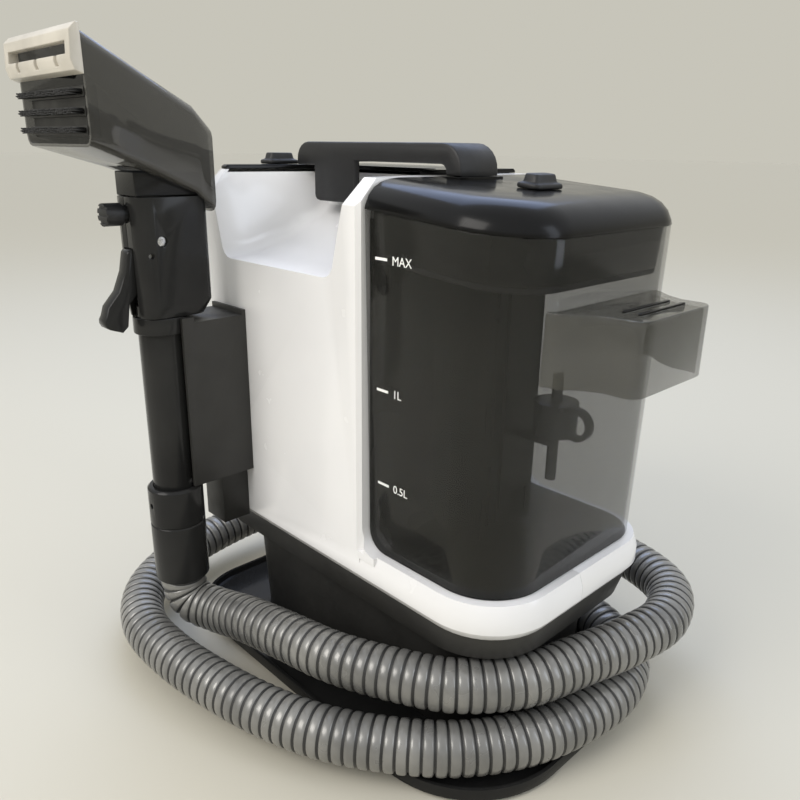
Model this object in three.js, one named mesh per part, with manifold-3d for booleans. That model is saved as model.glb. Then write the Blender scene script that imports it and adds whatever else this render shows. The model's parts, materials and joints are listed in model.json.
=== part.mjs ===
// Portable carpet and upholstery cleaner: an upright body on a hose tray, a smoked dirty-water tank with
// its lid at the +X end, a clean-water tank in the +Y side, a carry handle, and a hand tool that stands in
// a holder on the -Y side. Its hose winds twice round the waist. Millimetres, +Z up, floor at z = 0.
import * as THREE from "three";
import { mergeVertices } from "three/addons/utils/BufferGeometryUtils.js";
import Module from "manifold-3d";

const wasm = await Module();
wasm.setup();

// ---------------------------------------------------------------- driving dimensions
const GAP = 0.3; // between pieces that touch
const WALL = 2.5; // moulded walls

const BODY = { halfX: 156, halfY: 95, corner: 54 }; // white shell, in plan, about its -Y +X corner
const REAR = { longer: 33, tighter: 24 }; // the -X end lies further out, with smaller corners
const FAR = { wider: 10, tighter: 12 }; // and so does the +Y side
const BAND_BOTTOM = 115; // lower edge of the white shell
const BAND_SHOULDER = 131; // top of the band's upright face
const CRADLE_TOP = 141; // where the dirty tank stands
const SHOULDER = { z: 388, inset: 16 }; // the shell slopes in above this height
const SHELL_TOP = 405;
const COVER_TOP = 408.5;

const TRAY = { halfX: 172, halfY: 125, corner: 84, bottom: 0, floor: 7, rim: 12 };
// Rings of the black waist from the tray up; above the hose it is nearly as wide as the shell.
const WAIST = [
  { halfX: 122, halfY: 70, z: TRAY.floor + GAP },
  { halfX: 126, halfY: 73, z: 86 },
  { halfX: 147, halfY: 87, z: 94 },
  { halfX: 152, halfY: 91, z: BAND_BOTTOM - GAP },
];
const FOOT = { radius: 9, height: 3.2, x: 95, y: 52 };
const BASE_SCREW = { x: 70, y: 45, head: 4, shank: 2 };

const SCOOP_FLOOR = 337; // lowest edge of the side recess
const PILLAR = { from: 6, to: 25 }; // white pillar between the recess and the dirty tank
const CLEAN = { x0: -150, x1: 0, y0: 30, y1: 101, bottom: 150 };

const LINER = 1.2; // black liner of the dirty tank's bay
const TANK = { left: PILLAR.to + 0.5 + LINER + 0.4, halfX: 152, halfY: 91, corner: 50, top: 386, draft: 5 };
const LID_TOP = 405;
const LID_SLOPE = 0.08; // the lid falls towards +X
const SKIRT_BOTTOM = 357;
const SPINE = { to: 46, halfY: 23 }; // of the bay liner: the handle's front foot stands on it
const WINDOW_CORNER = 16; // rounded lower corner of the tank beside the pillar
const TANK_GRIP = { out: 201, rootHalf: 60, endHalf: 42, top: 335, bottom: 290 };

const HANDLE = { x0: -140, x1: 44, halfY: 20, top: 427, under: 413 };
const TOOL_X = -135; // the hand tool's plane of symmetry
const WAND_Y = -156; // axis of its tube
const CUFF = { bottom: 76, seam: 128, top: 161, radius: 22 };
const WAND = { radius: 17, bore: 14, bottom: 140, top: 309 };
const GRIP = { halfX: 19.5, front: -175.5, back: -117, bottom: 301, top: 388 };
const MOUTH_Y = -216; // front opening of the nozzle hood
const HOLDER = { x0: -158, x1: -112, front: -150, bottom: 163, top: 300, channel: 20.8 };

const HOSE_RADIUS = 18.5;

// ---------------------------------------------------------------- geometry helpers
function solid(geometry) {
  const bare = geometry.clone();
  bare.deleteAttribute("normal");
  bare.deleteAttribute("uv");
  const merged = mergeVertices(bare, 1e-4);
  return new wasm.Manifold(
    new wasm.Mesh({
      numProp: 3,
      vertProperties: new Float32Array(merged.attributes.position.array),
      triVerts: new Uint32Array(merged.index.array),
    }),
  );
}

function box(x0, x1, y0, y1, z0, z1) {
  const geometry = new THREE.BoxGeometry(x1 - x0, y1 - y0, z1 - z0);
  geometry.translate((x0 + x1) / 2, (y0 + y1) / 2, (z0 + z1) / 2);
  return solid(geometry);
}

// A cylinder about Z, or about X or Y when axis says so, from one place to the next along its axis.
function rod(radius, from, to, at, axis = "z", sides = 24, endRadius = radius) {
  const geometry = new THREE.CylinderGeometry(endRadius, radius, to - from, sides);
  geometry.translate(0, (from + to) / 2, 0);
  if (axis === "z") geometry.rotateX(Math.PI / 2);
  if (axis === "x") geometry.rotateZ(-Math.PI / 2);
  const [a, b] = at;
  if (axis === "z") geometry.translate(a, b, 0);
  if (axis === "x") geometry.translate(0, a, b);
  if (axis === "y") geometry.translate(a, 0, b);
  return solid(geometry);
}

// A rounded rectangle at height z, as a closed ring of points.
function ring(halfX, halfY, radius, z, steps = 6) {
  const points = [];
  const corners = [
    [1, 1],
    [-1, 1],
    [-1, -1],
    [1, -1],
  ];
  corners.forEach(([sx, sy], corner) => {
    for (let i = 0; i <= steps; i += 1) {
      const angle = (Math.PI / 2) * (corner + i / steps);
      const x = sx * (halfX - radius) + radius * Math.cos(angle);
      const y = sy * (halfY - radius) + radius * Math.sin(angle);
      points.push(new THREE.Vector3(x, y, z));
    }
  });
  return points;
}

// The body's plan: as ring, with a longer -X end, a wider +Y side and tighter corners on both.
function bodyRing(halfX, halfY, radius, z, steps = 12) {
  const points = [];
  const corners = [
    [1, 1],
    [-1, 1],
    [-1, -1],
    [1, -1],
  ];
  corners.forEach(([sx, sy], corner) => {
    const tighter = sx < 0 ? REAR.tighter : sy > 0 ? FAR.tighter : 0;
    const own = radius - tighter;
    const middleX = sx * (halfX - own) - (sx < 0 ? REAR.longer : 0);
    const middleY = sy * (halfY - own) + (sy > 0 ? FAR.wider : 0);
    for (let i = 0; i <= steps; i += 1) {
      const angle = (Math.PI / 2) * (corner + i / steps);
      points.push(new THREE.Vector3(middleX + own * Math.cos(angle), middleY + own * Math.sin(angle), z));
    }
  });
  return points;
}

// A closed solid through rings that have the same number of points, capped at both ends.
function loft(rings) {
  const count = rings[0].length;
  const positions = rings.flat().flatMap((point) => point.toArray());
  const faces = [];
  for (let level = 0; level < rings.length - 1; level += 1) {
    for (let i = 0; i < count; i += 1) {
      const next = (i + 1) % count;
      const a = level * count + i;
      const b = level * count + next;
      faces.push(a, b, b + count, a, b + count, a + count);
    }
  }
  [rings[0], rings[rings.length - 1]].forEach((end, which) => {
    const middle = new THREE.Vector3();
    end.forEach((point) => middle.addScaledVector(point, 1 / count));
    const centre = positions.length / 3;
    positions.push(...middle.toArray());
    const base = which * (rings.length - 1) * count;
    for (let i = 0; i < count; i += 1) {
      const next = (i + 1) % count;
      if (which === 0) faces.push(base + next, base + i, centre);
      else faces.push(base + i, base + next, centre);
    }
  });
  const geometry = new THREE.BufferGeometry();
  geometry.setAttribute("position", new THREE.Float32BufferAttribute(positions, 3));
  geometry.setIndex(faces);
  const made = solid(geometry);
  if (made.volume() > 0) return made;
  geometry.setIndex(faces.reverse());
  return solid(geometry);
}

// An outline of [x, y] points extruded upwards.
function plate(points, z0, z1) {
  const shape = new THREE.Shape(points.map(([x, y]) => new THREE.Vector2(x, y)));
  const geometry = new THREE.ExtrudeGeometry(shape, { depth: z1 - z0, bevelEnabled: false });
  geometry.translate(0, 0, z0);
  return solid(geometry);
}

// An outline of [y, z] points extruded along X.
function profile(points, x0, x1) {
  const shape = new THREE.Shape(points.map(([y, z]) => new THREE.Vector2(y, z)));
  const geometry = new THREE.ExtrudeGeometry(shape, { depth: x1 - x0, bevelEnabled: false });
  geometry.rotateX(Math.PI / 2);
  geometry.rotateZ(Math.PI / 2);
  geometry.translate(x0, 0, 0);
  return solid(geometry);
}

function arc(cx, cy, radius, fromDegrees, toDegrees, steps = 6) {
  const points = [];
  for (let i = 0; i <= steps; i += 1) {
    const angle = THREE.MathUtils.degToRad(fromDegrees + ((toDegrees - fromDegrees) * i) / steps);
    points.push([cx + radius * Math.cos(angle), cy + radius * Math.sin(angle)]);
  }
  return points;
}

// A profile of [radius, z] points turned about a vertical axis.
function turned(points, [x, y], sides) {
  const outline = points.map(([r, z]) => new THREE.Vector2(r, z));
  const geometry = new THREE.LatheGeometry(outline, sides);
  geometry.rotateX(Math.PI / 2);
  geometry.translate(x, y, 0);
  return solid(geometry);
}

const BIG = 600;
const leftOf = (x) => box(-BIG, x, -BIG, BIG, -BIG, BIG);
const rightOf = (x) => box(x, BIG, -BIG, BIG, -BIG, BIG);

// ---------------------------------------------------------------- materials
function plastic(color, roughness, options = {}) {
  return () => new THREE.MeshStandardMaterial({ color, roughness, metalness: 0, ...options });
}
const smoke = { transparent: true, opacity: 0.55 };
const MATERIALS = {
  white: plastic(0xf1f1ef, 0.2),
  black: plastic(0x161616, 0.35),
  mattBlack: plastic(0x1d1d1e, 0.6),
  grey: plastic(0x3a3a3c, 0.5),
  smoked: plastic(0x3c3b36, 0.1, smoke),
  pale: plastic(0xc9c2b4, 0.4),
  hose: plastic(0x5a5a58, 0.35),
  rubber: plastic(0x111111, 0.8),
  bristle: plastic(0x151515, 0.7),
  board: plastic(0x1f5a3a, 0.5),
  steel: () => new THREE.MeshStandardMaterial({ color: 0x9a9a9a, roughness: 0.3, metalness: 1 }),
};

const machine = new THREE.Group();

function part(name, made, look) {
  const mesh = made.getMesh();
  const geometry = new THREE.BufferGeometry();
  geometry.setAttribute("position", new THREE.BufferAttribute(new Float32Array(mesh.vertProperties), 3));
  geometry.setIndex(new THREE.BufferAttribute(new Uint32Array(mesh.triVerts), 1));
  geometry.computeVertexNormals();
  const node = new THREE.Mesh(geometry, MATERIALS[look]());
  node.name = name;
  machine.add(node);
}

// ---------------------------------------------------------------- tray, feet and waist
const footPlaces = [1, -1].flatMap((sx) => [1, -1].map((sy) => [sx * FOOT.x, sy * FOOT.y]));
const screwPlaces = [1, -1].flatMap((sx) => [1, -1].map((sy) => [sx * BASE_SCREW.x, sy * BASE_SCREW.y]));

function baseTray() {
  const { halfX, halfY, corner, bottom, floor, rim } = TRAY;
  let made = loft([
    bodyRing(halfX - 4, halfY - 4, corner - 4, bottom, 16),
    bodyRing(halfX, halfY, corner, bottom + 3, 16),
    bodyRing(halfX, halfY, corner, rim, 16),
  ]);
  made = made.subtract(loft([
    bodyRing(halfX - 4, halfY - 4, corner - 4, floor, 16),
    bodyRing(halfX - 2.5, halfY - 2.5, corner - 2.5, rim + 1, 16),
  ]));
  footPlaces.forEach(([x, y]) => {
    made = made.subtract(rod(FOOT.radius + GAP, -1, FOOT.height + GAP, [x, y]));
  });
  screwPlaces.forEach(([x, y]) => {
    made = made.subtract(rod(BASE_SCREW.shank + GAP, -1, 20, [x, y], "z", 16));
    made = made.subtract(rod(BASE_SCREW.head + GAP, -1, 4, [x, y], "z", 16));
  });
  return made;
}

function baseScrew(x, y) {
  const head = rod(BASE_SCREW.head, 1, 3.7, [x, y], "z", 16);
  return head.add(rod(BASE_SCREW.shank, 3, 14, [x, y], "z", 16));
}

function waist(inset, lift) {
  const { corner } = BODY;
  return loft(
    WAIST.map(({ halfX, halfY, z }, level) => {
      const height = z + (level === 0 ? lift : lift / 4);
      return bodyRing(halfX - inset, halfY - inset, corner - inset, height);
    }),
  );
}

function baseHousing() {
  const from = TRAY.floor + GAP;
  let made = waist(0, 0).subtract(waist(3, 4));
  screwPlaces.forEach(([x, y]) => {
    made = made.add(rod(5, from + 3, 22, [x, y], "z", 16));
    made = made.subtract(rod(BASE_SCREW.shank + GAP, 0, 14 + GAP, [x, y], "z", 16));
  });
  made = made.subtract(rod(PORT.bore, 60, 100, [PORT.wallX, PORT.z], "y"));
  made = made.subtract(rod(INLET.radius + GAP, -175, -130, [INLET.y, INLET.z], "x"));
  return made;
}

// ---------------------------------------------------------------- hose port and mains inlet
const PORT = { wallX: -38, z: 38, bore: 13, y: 105, stubEnd: 22 };
const INLET = { radius: 8, y: 25, z: 45 };

function hosePort() {
  const { wallX, z, bore, y, stubEnd } = PORT;
  let made = box(wallX - 20, wallX + 20, 85.5, y + 20, z - 20, z + 20);
  made = made.add(rod(19, wallX, stubEnd, [y, z], "x", 32));
  made = made.subtract(rod(bore, 70, y, [wallX, z], "y"));
  made = made.subtract(rod(15, wallX, stubEnd + 5, [y, z], "x"));
  return made;
}

function mainsInlet() {
  const { radius, y, z } = INLET;
  let made = rod(radius, -167, -147, [y, z], "x");
  made = made.add(rod(radius + 4, -167, -161, [y, z], "x"));
  return made.subtract(rod(3.5, -173, -149, [y, z], "x", 16));
}

// ---------------------------------------------------------------- white shell
// The side recess: a scoop that opens upwards, deepest at the -Y face and rising towards the handle.
function scoop(inflate) {
  const sections = [
    { y: -112, x0: -143, x1: 0, floor: SCOOP_FLOOR },
    { y: -70, x0: -140, x1: -2, floor: SCOOP_FLOOR + 3 },
    { y: -38, x0: -136, x1: -5, floor: SCOOP_FLOOR + 13 },
    { y: -8, x0: -132, x1: -10, floor: SCOOP_FLOOR + 31 },
    { y: 18 + inflate, x0: -128, x1: -16, floor: SCOOP_FLOOR + 60 },
  ];
  const radius = 12;
  const lean = 24; // how far the side walls open out by z = 440
  return loft(
    sections.map(({ y, x0, x1, floor }) => {
      const left = x0 - inflate;
      const right = x1 + inflate;
      const low = floor - inflate;
      const outline = [
        [left - lean, 440],
        ...arc(left + radius, low + radius, radius, 180, 270, 4),
        ...arc(right - radius, low + radius, radius, 270, 360, 4),
        [right + lean, 440],
      ];
      return outline.map(([x, z]) => new THREE.Vector3(x, y, z));
    }),
  );
}

function windowOutline(inflate) {
  const left = PILLAR.to + 0.5 - inflate;
  const low = CRADLE_TOP + GAP - inflate;
  const radius = WINDOW_CORNER;
  return [
    [left, 430],
    ...arc(left + radius, low + radius, radius, 180, 270, 5),
    [170, low],
    [170, 430],
  ];
}

// The tank's window seen from the side, extruded across the whole width.
function windowPrism(inflate) {
  const shape = new THREE.Shape(windowOutline(inflate).map(([x, z]) => new THREE.Vector2(x, z)));
  const geometry = new THREE.ExtrudeGeometry(shape, { depth: 240, bevelEnabled: false });
  geometry.rotateX(Math.PI / 2);
  geometry.translate(0, 120, 0);
  return solid(geometry);
}

// The channel down the back of the tank and its lid, in which the liner's spine stands.
function channel(wall) {
  const { to, halfY } = SPINE;
  return box(0, to + 0.5 + wall, -halfY - 0.5 - wall, halfY + 0.5 + wall, 0, 500);
}

// The liner covers the pillar's face and the cradle under the tank, with a hollow spine for the waste duct.
function bayLiner() {
  const plan = loft([
    bodyRing(TANK.halfX - 6, TANK.halfY - 6, TANK.corner - 6, CRADLE_TOP),
    bodyRing(TANK.halfX - 6, TANK.halfY - 6, TANK.corner - 6, SHOULDER.z - 8),
  ]);
  const sheet = windowPrism(0).subtract(windowPrism(-LINER));
  const { to, halfY } = SPINE;
  const floor = CRADLE_TOP + GAP;
  const spine = box(PILLAR.to + 0.5, to, -halfY, halfY, floor, SHELL_TOP);
  const hollow = box(0, to - WALL, -halfY + WALL, halfY - WALL, 0, SHELL_TOP - WALL);
  return sheet.intersect(plan).add(spine).subtract(hollow);
}

// The shell's outside, or its inside when inset by the wall.
function tallBody(inset, top) {
  const { halfX, halfY, corner } = BODY;
  const at = (amount, z) => {
    const inwards = amount + inset;
    return bodyRing(halfX - inwards, halfY - inwards, corner - inwards, z);
  };
  const slope = SHOULDER.inset / (SHELL_TOP - SHOULDER.z);
  return loft([
    at(4, BAND_BOTTOM - inset * 2),
    at(0, BAND_BOTTOM + 6),
    at(0, SHOULDER.z - inset / 2),
    at(SHOULDER.inset + slope * (top - SHELL_TOP + inset / 2), top + inset / 2),
  ]);
}

function shellOutside() {
  const { halfX, halfY, corner } = BODY;
  const tall = tallBody(0, SHELL_TOP);
  const band = loft([
    bodyRing(halfX - 4, halfY - 4, corner - 4, BAND_BOTTOM),
    bodyRing(halfX, halfY, corner, BAND_BOTTOM + 6),
    bodyRing(halfX, halfY, corner, BAND_SHOULDER),
    bodyRing(TANK.halfX + 0.5, TANK.halfY + 0.5, TANK.corner + 0.5, CRADLE_TOP),
  ]);
  let made = tall.intersect(leftOf(PILLAR.to)).add(band);
  const fillet = tall.intersect(box(PILLAR.to - 1, PILLAR.to + WINDOW_CORNER, -120, 120, 135, 158));
  made = made.add(fillet.subtract(windowPrism(0.4)).subtract(channel(0)));
  [-BODY.halfY - 1, BODY.halfY + FAR.wider + 1].forEach((y) => {
    const geometry = new THREE.BoxGeometry(7, 7, 330);
    geometry.rotateZ(Math.PI / 4);
    geometry.translate(PILLAR.to + 1, y, CRADLE_TOP + 165);
    made = made.subtract(solid(geometry));
  });
  return made;
}

function shellInside() {
  const underTank = loft([
    bodyRing(148, 87, 46, BAND_BOTTOM - 1),
    bodyRing(148, 87, 46, CRADLE_TOP - 3),
  ]);
  const room = tallBody(WALL, SHELL_TOP + 5);
  const openTop = room.intersect(leftOf(PILLAR.from - 2));
  const underPillar = room
    .intersect(leftOf(PILLAR.to - WALL))
    .intersect(box(-BIG, BIG, -BIG, BIG, -BIG, SHELL_TOP - WALL));
  return openTop.add(underPillar).add(underTank);
}

function cleanTankBay() {
  const { x0, x1, y0, bottom } = CLEAN;
  const around = box(x0 - 3, x1 + 3, y0 - 10, 103, bottom - 4, SHELL_TOP - 2.2);
  const outer = around.intersect(tallBody(0.1, SHELL_TOP));
  return outer.subtract(box(x0 - 0.5, x1 + 0.5, y0 - 0.5, 120, bottom - 0.5, BIG));
}

function wholeShell() {
  const { x0, x1, y0, bottom } = CLEAN;
  const below = box(-BIG, BIG, -BIG, BIG, -BIG, SHELL_TOP - 2.2);
  const scoopWall = scoop(WALL).intersect(shellOutside()).intersect(below);
  let made = shellOutside().subtract(shellInside()).add(scoopWall);
  made = made.add(cleanTankBay().subtract(scoop(1)));
  made = made.subtract(scoop(0));
  made = made.subtract(box(x0 - 0.5, x1 + 0.5, y0 - 0.5, 120, bottom - 0.5, BIG));
  made = made.subtract(rod(VALVE.radius + GAP, 100, 160, [VALVE.x, VALVE.y], "z", 16));
  made = made.subtract(rod(DUCT.radius + GAP, 100, CRADLE_TOP + 5, [DUCT.x, DUCT.y]));
  made = made.subtract(box(-193, -183, BUTTON.y - 11.3, BUTTON.y + 11.3, BUTTON.z - 8.3, BUTTON.z + 8.3));
  holderScrewPlaces.forEach(([x, z]) => {
    made = made.subtract(rod(2 + GAP, -100, -88, [x, z], "y", 12));
  });
  return made;
}

// ---------------------------------------------------------------- top cover and handle
function topPlate(z0) {
  const inset = SHOULDER.inset + 0.5;
  return loft([
    bodyRing(BODY.halfX - inset, BODY.halfY - inset, BODY.corner - inset, z0),
    bodyRing(BODY.halfX - inset, BODY.halfY - inset, BODY.corner - inset, COVER_TOP - 1.5),
    bodyRing(BODY.halfX - inset - 2, BODY.halfY - inset - 2, BODY.corner - inset - 2, COVER_TOP),
  ]);
}

function topCover() {
  const { x0, y0 } = CLEAN;
  let made = topPlate(SHELL_TOP + GAP).intersect(leftOf(PILLAR.from - GAP));
  made = made.subtract(box(x0 - 0.5, 20, y0 - 2.5, 120, 380, 440));
  return made.subtract(scoop(0.2));
}

// A broad bar with both ends turned down, and a tongue that hangs into the recess.
function carryHandle() {
  const { x0, x1, halfY, top, under } = HANDLE;
  const thick = top - under;
  const footLeft = COVER_TOP + GAP;
  const outline = [
    [x0, footLeft],
    ...arc(x0 + 14, top - 14, 14, 180, 90, 5),
    ...arc(x1 - 18, top - 18, 18, 90, 0, 6),
    [x1, SHELL_TOP + GAP],
    [x1 - thick, SHELL_TOP + GAP],
    ...arc(x1 - thick - 6, under - 6, 6, 0, 90, 3),
    [-67, under],
    [-67, 386],
    ...arc(-72, 386, 5, 0, -90, 3),
    ...arc(-112, 386, 5, -90, -180, 3),
    [-117, footLeft],
  ];
  const shape = new THREE.Shape(outline.map(([x, z]) => new THREE.Vector2(x, z)));
  const geometry = new THREE.ExtrudeGeometry(shape, {
    depth: 2 * halfY - 4,
    bevelEnabled: true,
    bevelSize: 2,
    bevelThickness: 2,
    bevelOffset: -2,
    bevelSegments: 2,
  });
  geometry.rotateX(Math.PI / 2);
  geometry.translate(0, halfY - 2, 0);
  const bar = solid(geometry);
  // behind the tongue only the bar itself is left
  return bar.subtract(box(-119, -60, -halfY + 6, halfY + 1, 370, under - 0.5));
}

function deckTab(x, y, z) {
  const base = loft([
    ring(9, 15, 4, 0, 3),
    ring(9, 15, 4, 3, 3),
    ring(6, 12, 3, 4, 3),
    ring(5, 11, 3, 9, 3),
  ]);
  return base.translate([x, y, z]);
}

// ---------------------------------------------------------------- power parts inside
const DUCT = { x: 34.5, y: 0, radius: 8 };
const VALVE = { x: -70, y: 58, radius: 8 };
const BUTTON = { y: 30, z: 300 };
const MOTOR = { x: -50, y: 0, radius: 40 };

function motor() {
  const { x, y, radius } = MOTOR;
  const outline = [
    [0, 11.6],
    [radius, 11.6],
    [radius, 60],
    [radius - 8, 66],
    [12, 66],
    [12, 70],
    [4, 70],
    [4, 94],
    [0, 94],
  ];
  return turned(outline, [x, y], 28);
}

function fan() {
  const { x, y } = MOTOR;
  let made = rod(34, 76, 78, [x, y], "z", 28).add(rod(9, 76, 92, [x, y]));
  for (let blade = 0; blade < 8; blade += 1) {
    const geometry = new THREE.BoxGeometry(24, 2, 11);
    geometry.translate(20, 0, 83.4);
    geometry.rotateZ((blade * Math.PI) / 4);
    geometry.translate(x, y, 0);
    made = made.add(solid(geometry));
  }
  return made.subtract(rod(4 + GAP, 60, 100, [x, y], "z", 16));
}

function fanHousing() {
  const { x, y } = MOTOR;
  const outside = rod(40, 70.5, 100, [x, y], "z", 28);
  const inside = rod(37.5, 60, 97.5, [x, y], "z", 28);
  return outside.subtract(inside).subtract(rod(14, 60, 110, [x, y]));
}

function pump() {
  const body = box(22, 66, -38, -2, 11.6, 45);
  return body.add(rod(13, 44, 66, [44, -20])).add(rod(4, 66, 86, [-20, 38], "x", 16));
}

function controlBoard() {
  return box(30, 88, 2, 38, 12.5, 14.5).add(box(36, 56, 8, 24, 14, 30)).add(box(64, 80, 10, 34, 14, 24));
}

function wasteDuct() {
  const { x, y, radius } = DUCT;
  return rod(radius, 47, 398, [x, y]).subtract(rod(radius - 2, 20, 410, [x, y]));
}

// ---------------------------------------------------------------- tool holder
const holderScrewPlaces = [
  [-135, 190],
  [-135, 270],
];

function toolHolder() {
  const { x0, x1, front, bottom, top, channel } = HOLDER;
  let made = box(x0, x1, front, -BODY.halfY - GAP, bottom, top);
  made = made.subtract(rod(channel, bottom - 5, top + 5, [TOOL_X, WAND_Y], "z", 32));
  made = made.add(box(-150, -122, -120, -BODY.halfY - GAP, 116, bottom + 1));
  made = made.subtract(box(-170, -100, -140, -BODY.halfY - 3, top - 4, top + 1));
  holderScrewPlaces.forEach(([x, z]) => {
    made = made.subtract(rod(2 + GAP, -105, -90, [x, z], "y", 12));
  });
  return made.subtract(box(-146, -126, -117, -104, 110, bottom - 2));
}

function holderScrew(x, z) {
  return rod(2, -104, -91, [x, z], "y", 12).add(rod(4, -92.2, -89, [x, z], "y", 12));
}

// ---------------------------------------------------------------- clean-water tank
function cleanOutline(inset, z0, z1) {
  const { x0, x1, y0, y1 } = CLEAN;
  const middleX = (x0 + x1) / 2;
  const middleY = (y0 + y1) / 2;
  const rings = [z0, z1].map((z) => ring((x1 - x0) / 2 - inset, (y1 - y0) / 2 - inset, 10 - inset, z, 3));
  return loft(rings.map((points) => points.map((p) => p.add(new THREE.Vector3(middleX, middleY, 0)))));
}

function cleanTank() {
  const { bottom } = CLEAN;
  const outline = cleanOutline(0, bottom, SHELL_TOP - 1);
  const room = cleanOutline(WALL, bottom + WALL, SHELL_TOP + 5);
  const outside = outline.intersect(tallBody(0.5, SHELL_TOP));
  const made = outside.subtract(room.intersect(tallBody(WALL + 0.5, SHELL_TOP + 5)));
  return made.subtract(rod(VALVE.radius - 3, 140, 160, [VALVE.x, VALVE.y], "z", 16));
}

function cleanLid() {
  const { x0, x1, y0 } = CLEAN;
  const cover = topPlate(SHELL_TOP - 1 + GAP).intersect(box(x0, x1 + 5.5, y0 - 2, 120, 300, 440));
  const upTo = (y) => box(-BIG, BIG, -BIG, y, 0, BIG);
  const plug = cleanOutline(WALL + 0.6, SHELL_TOP - 10, SHELL_TOP + 1).intersect(upTo(84));
  const hollow = cleanOutline(WALL + 2.5, SHELL_TOP - 12, SHELL_TOP - 1).intersect(upTo(82));
  const trimmed = cover.subtract(box(x1 + 0.2, 20, 0, 120, 300, SHELL_TOP + GAP));
  return trimmed.add(plug.subtract(hollow));
}

function cleanValve() {
  const { x, y, radius } = VALVE;
  const made = rod(radius, 138, CLEAN.bottom - GAP, [x, y], "z", 16);
  return made.subtract(rod(3, 130, 160, [x, y], "z", 12));
}

// ---------------------------------------------------------------- dirty-water tank
function tankRings(inset, z0, z1) {
  const lean = (TANK.draft * (TANK.top - z0)) / (TANK.top - CRADLE_TOP);
  const at = (extra, z) =>
    bodyRing(TANK.halfX - inset - extra, TANK.halfY - inset - extra, TANK.corner - inset - extra, z);
  return [at(lean, z0), at(0, z1)];
}

// Shears a solid so that its top falls towards +X, as the lid does.
function sloped(made) {
  return made.transform([1, 0, -LID_SLOPE, 0, 0, 1, 0, 0, 0, 0, 1, 0, 0, 0, LID_SLOPE * TANK.left, 1]);
}

function dirtyTank() {
  const low = CRADLE_TOP + GAP + LINER + 0.4;
  const outside = loft(tankRings(0, low, TANK.top)).intersect(rightOf(TANK.left));
  const inside = loft(tankRings(WALL, low + WALL, TANK.top + 5)).intersect(rightOf(TANK.left + WALL));
  const rounded = outside.intersect(windowPrism(-LINER - 0.4)).subtract(channel(0));
  const corner = windowPrism(-LINER - 0.4 - WALL).subtract(channel(WALL));
  const top = sloped(box(-BIG, BIG, -BIG, BIG, -BIG, TANK.top));
  return rounded.subtract(inside.intersect(corner)).intersect(top);
}

function gripOutline(inset) {
  const { out, rootHalf, endHalf } = TANK_GRIP;
  const side = [
    [140, rootHalf - inset],
    [158, rootHalf - 3 - inset],
    [168, endHalf + 6 - inset],
    [180, endHalf - inset],
    ...arc(out - 9, endHalf - 9, 9 - inset, 90, 0, 4),
  ];
  const mirrored = side.map(([x, y]) => [x, -y]).reverse();
  return [...mirrored, ...side];
}

function tankGrip() {
  const { top, bottom } = TANK_GRIP;
  let made = plate(gripOutline(0), bottom, top).subtract(plate(gripOutline(WALL), bottom - 5, top - WALL));
  [178, 188].forEach((x) => {
    made = made.add(box(x, x + 2, -26, 26, top - 1, top + 1.2));
  });
  const wall = loft(tankRings(-GAP, CRADLE_TOP, TANK.top));
  return made.subtract(wall);
}

function tankColumn() {
  let made = box(56, 85, -30, 30, 150, 376).subtract(box(58.5, 82.5, -27.5, 27.5, 152.5, 380));
  [-24, -12].forEach((y) => {
    made = made.add(box(84, 87, y, y + 3, 160, 336));
  });
  return made.subtract(box(77, 92, 5, 22, 158, 178));
}

const FLOAT = { x: 112, y: 14, low: 232, high: 256 };

function floatGuide() {
  const { x, y } = FLOAT;
  const bracket = box(85.3, x, y - 5, y + 5, 222, 226);
  return bracket.add(rod(4, 196, 276, [x, y], "z", 16));
}

function floatBody() {
  const { x, y, low, high } = FLOAT;
  const body = rod(16, low, high, [x, y], "z", 24).subtract(rod(4.5, 220, 262, [x, y], "z", 16));
  const loop = rod(12, y - 6, y, [x + 20, 244], "y", 24).subtract(rod(8, 0, 20, [x + 20, 244], "y", 24));
  return body.add(loop.subtract(rod(15, low - 2, high + 4, [x, y], "z", 24)));
}

function dirtyLid() {
  const inset = (amount, z) =>
    bodyRing(TANK.halfX - amount, TANK.halfY - amount, TANK.corner - amount, z);
  const crown = loft([
    inset(0, TANK.top + GAP),
    inset(0.6, TANK.top + 3),
    inset(3.5, TANK.top + 9),
    inset(8, TANK.top + 13.5),
    inset(14, TANK.top + 16.6),
    inset(21, TANK.top + 18.3),
    inset(29, LID_TOP),
  ]);
  const under = loft([inset(6, TANK.top - 1), inset(12, LID_TOP - 9), inset(22, LID_TOP - 4)]);
  const skirt = loft([inset(7, SKIRT_BOTTOM), inset(4.6, TANK.top + 2)]);
  const skirtInside = loft([inset(9.2, SKIRT_BOTTOM - 1), inset(6.8, TANK.top + 3)]);
  const hollow = under.intersect(rightOf(TANK.left + 3)).subtract(channel(WALL));
  const cap = crown.intersect(rightOf(TANK.left)).subtract(hollow).subtract(channel(0));
  const within = skirtInside.intersect(rightOf(TANK.left + 6)).subtract(channel(WALL + 3));
  const below = box(TANK.left + 3.2, BIG, -BIG, BIG, 0, TANK.top + 1);
  const wall = skirt.intersect(below).subtract(channel(WALL + 0.7)).subtract(within);
  return sloped(cap.add(wall));
}

function lidGasket() {
  const inset = (amount, z) =>
    bodyRing(TANK.halfX - amount, TANK.halfY - amount, TANK.corner - amount, z);
  const outer = loft([inset(7.6, SKIRT_BOTTOM - 4), inset(7.6, SKIRT_BOTTOM - GAP)]);
  const inner = loft([inset(9.4, SKIRT_BOTTOM - 5), inset(9.4, SKIRT_BOTTOM + 1)]);
  const within = inner.intersect(rightOf(TANK.left + 6)).subtract(channel(WALL + 2.7));
  return sloped(outer.intersect(rightOf(TANK.left + 3.2)).subtract(channel(WALL + 0.7)).subtract(within));
}

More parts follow.
